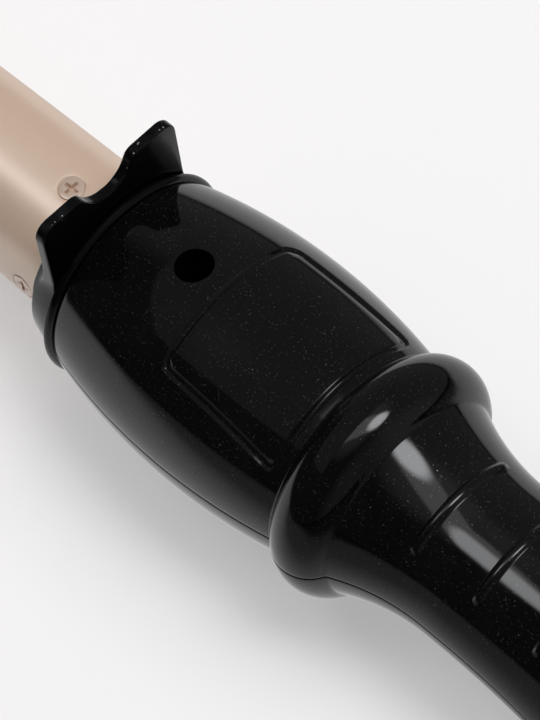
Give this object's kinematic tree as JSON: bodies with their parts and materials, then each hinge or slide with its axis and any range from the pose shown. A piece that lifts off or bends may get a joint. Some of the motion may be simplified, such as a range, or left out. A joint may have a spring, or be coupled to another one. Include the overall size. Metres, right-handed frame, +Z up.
{
  "type": "conical curling wand",
  "caption": "Conical hair curling wand with a satin metal barrel, an eared heat guard, a ribbed gloss handle, push buttons and a swivelling cord outlet.",
  "frame": {"origin": "on the surface that the wand lies on, under the middle of its length", "axes": "+X along the wand from the barrel's tip to the cord outlet, +Z up through the rating panel, away from the buttons that it lies on"},
  "size_m": [0.3052, 0.0406, 0.0457],
  "materials": {
    "champagne_metal": "satin champagne anodised, fine sheen",
    "tip_plastic": "black heat resistant moulding, fine satin",
    "champagne_screw": "champagne plated",
    "bush_plastic": "dark heat resistant moulding",
    "mica": "pale brown mica sheet",
    "bare_aluminium": "bare extruded",
    "stone": "grey ceramic",
    "copper": "copper strip",
    "amber_film": "amber insulating film",
    "fuse_metal": "drawn metal case",
    "sensor_glass": "dark green glass bead",
    "steel": "zinc plated",
    "sleeving": "pale woven sleeving",
    "sleeving_red": "red sleeving",
    "guard_plastic": "black satin moulding",
    "handle_gloss": "high gloss black with fine silver flecks",
    "board_green": "green solder mask",
    "component_black": "black moulded component",
    "led_body": "milky lens body",
    "lens_red": "translucent red",
    "component_amber": "dipped amber case",
    "component_can": "sleeved can",
    "panel_gloss": "high gloss black",
    "button_finish": "champagne metallic",
    "gland_plastic": "black satin moulding",
    "brass": "turned brass",
    "lead_black": "black insulation"
  },
  "bodies": {
    "handle": {"barrel": "champagne_metal", "tip_cap": "tip_plastic", "barrel_screws": "champagne_screw", "barrel_bush": "bush_plastic", "mica_washer": "mica", "heat_spreader_upper": "bare_aluminium", "heat_spreader_lower": "bare_aluminium", "heating_stones": "stone", "electrode_upper": "copper", "electrode_lower": "copper", "film_upper": "amber_film", "film_lower": "amber_film", "thermal_fuse": "fuse_metal", "temperature_sensor": "sensor_glass", "lead_crimps": "steel", "heater_leads": "sleeving", "fuse_lead": "sleeving", "sensor_lead": "sleeving_red", "guard_flange": "guard_plastic", "rear_shell": "handle_gloss", "front_shell": "handle_gloss", "handle_screws": "steel", "circuit_board": "board_green", "board_screws": "steel", "tact_switches": "component_black", "indicator_led": "led_body", "indicator_lens": "lens_red", "film_capacitor": "component_amber", "smoothing_capacitor": "component_can", "triac": "component_black", "control_chip": "component_black", "control_panel": "panel_gloss", "ring_contacts": "copper", "contact_holder": "component_black", "supply_leads": "lead_black"},
    "gland": {"cord_gland": "gland_plastic", "slip_rings": "brass"},
    "power_button": {"power_button": "button_finish"},
    "minus_button": {"minus_button": "button_finish"},
    "plus_button": {"plus_button": "button_finish"}
  },
  "joints": [
    {"name": "cord_swivel", "type": "hinge", "parent": "handle", "child": "gland", "pos_m": [0.1413, 0, 0.0204], "axis": [1, 0, 0], "continuous": true},
    {"name": "power_press", "type": "slide", "parent": "handle", "child": "power_button", "axis": [0, 0, 1], "range_m": [0, 0.0005], "stiffness_N_per_m": 1000},
    {"name": "minus_press", "type": "slide", "parent": "handle", "child": "minus_button", "axis": [0, 0, 1], "range_m": [0, 0.0005], "stiffness_N_per_m": 1000},
    {"name": "plus_press", "type": "slide", "parent": "handle", "child": "plus_button", "axis": [0, 0, 1], "range_m": [0, 0.0005], "stiffness_N_per_m": 1000}
  ]
}
